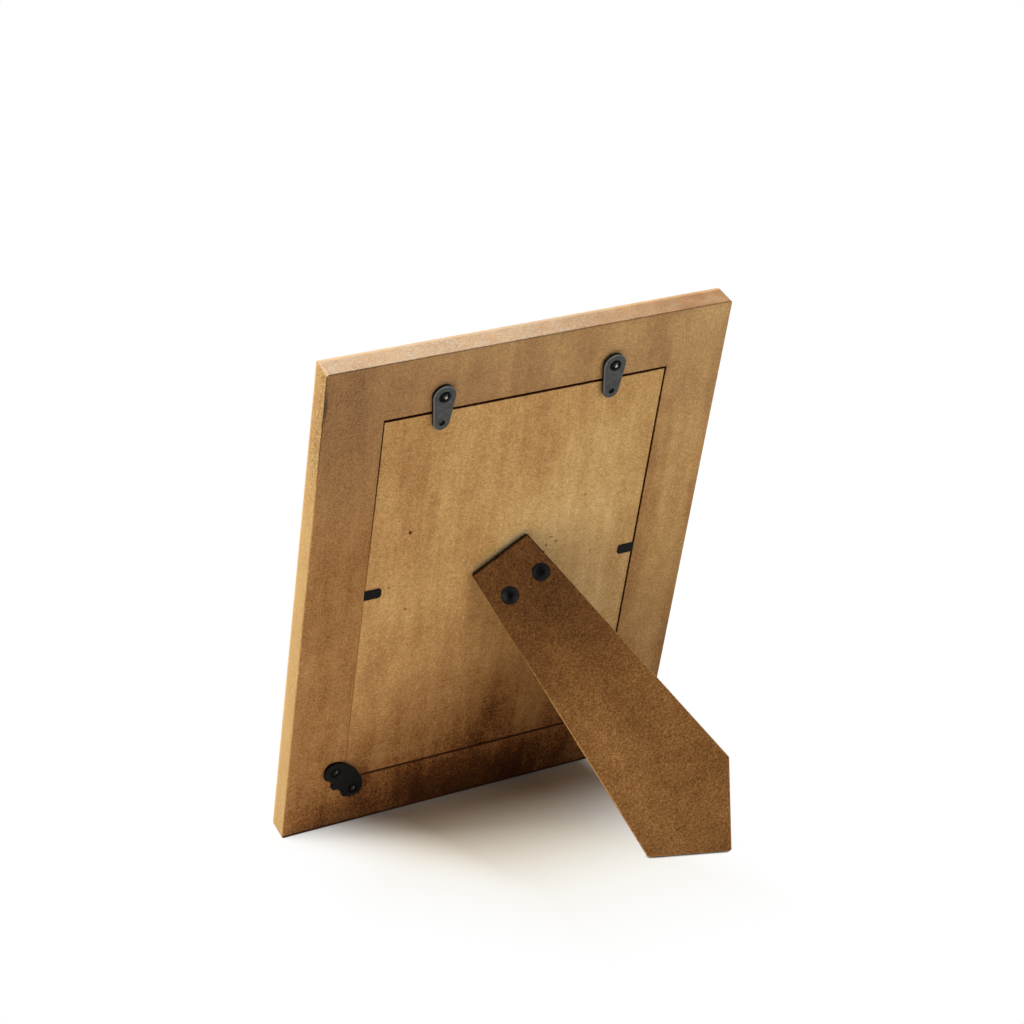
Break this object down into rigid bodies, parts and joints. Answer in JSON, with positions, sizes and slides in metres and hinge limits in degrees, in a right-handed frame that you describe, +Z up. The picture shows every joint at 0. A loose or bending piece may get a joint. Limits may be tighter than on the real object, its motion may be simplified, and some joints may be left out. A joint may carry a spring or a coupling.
{
  "type": "easel back photo frame",
  "caption": "Free-standing photo frame of stained fibre board: a loose back panel held by turn buttons, tabs and corner plates, and a hinged easel leg that opens to one corner and folds flat.",
  "frame": {"origin": "on the floor, under the middle of the leaning frame's bounding box with its leg open", "axes": "+Z up, +Y out of the back towards the leg, -Y out of the front, +X to the left seen from behind"},
  "size_m": [0.15, 0.0942, 0.1952],
  "materials": {
    "stained_board": "brown stain on fibre board, patchy, satin",
    "panel_board": "honey stain on thin fibre board, satin",
    "leg_board": "dark brown stain on thin fibre board, speckled, worn pale at the edges",
    "clear_glass": "clear picture glass",
    "insert_paper": "plain off-white card",
    "grey_steel": "dark grey, satin",
    "black_metal": "black oxide, satin",
    "hinge_steel": "plain zinc"
  },
  "bodies": {
    "frame": {"frame_board": "stained_board", "glass_pane": "clear_glass", "photo_insert": "insert_paper", "backing_panel": "panel_board", "hinge_panel_leaf": "hinge_steel", "hinge_pin": "hinge_steel", "hinge_rivets": "hinge_steel", "turn_button_screw_left": "black_metal", "side_tab_left": "black_metal", "corner_plate_left": "black_metal", "corner_plate_left_stile_screw": "black_metal", "corner_plate_left_rail_screw": "black_metal", "turn_button_screw_right": "black_metal", "side_tab_right": "black_metal", "corner_plate_right": "black_metal", "corner_plate_right_stile_screw": "black_metal", "corner_plate_right_rail_screw": "black_metal"},
    "leg": {"easel_leg": "leg_board", "hinge_leg_leaf": "hinge_steel", "leg_screw_left": "black_metal", "leg_screw_right": "black_metal"},
    "turn_button_left": {"turn_button_left": "grey_steel"},
    "turn_button_right": {"turn_button_right": "grey_steel"}
  },
  "joints": [
    {"name": "leg_hinge", "type": "hinge", "parent": "frame", "child": "leg", "pos_m": [-0.0006, -0.00809, 0.10291], "axis": [-0.8271, 0.1436, 0.5434], "range_deg": [0, 35.43]},
    {"name": "turn_button_left_turn", "type": "hinge", "parent": "frame", "child": "turn_button_left", "pos_m": [0.0324, 0.01033, 0.17774], "axis": [0, 0.9668, -0.2554], "continuous": true},
    {"name": "turn_button_right_turn", "type": "hinge", "parent": "frame", "child": "turn_button_right", "pos_m": [-0.0308, 0.01033, 0.17774], "axis": [0, 0.9668, -0.2554], "continuous": true}
  ]
}
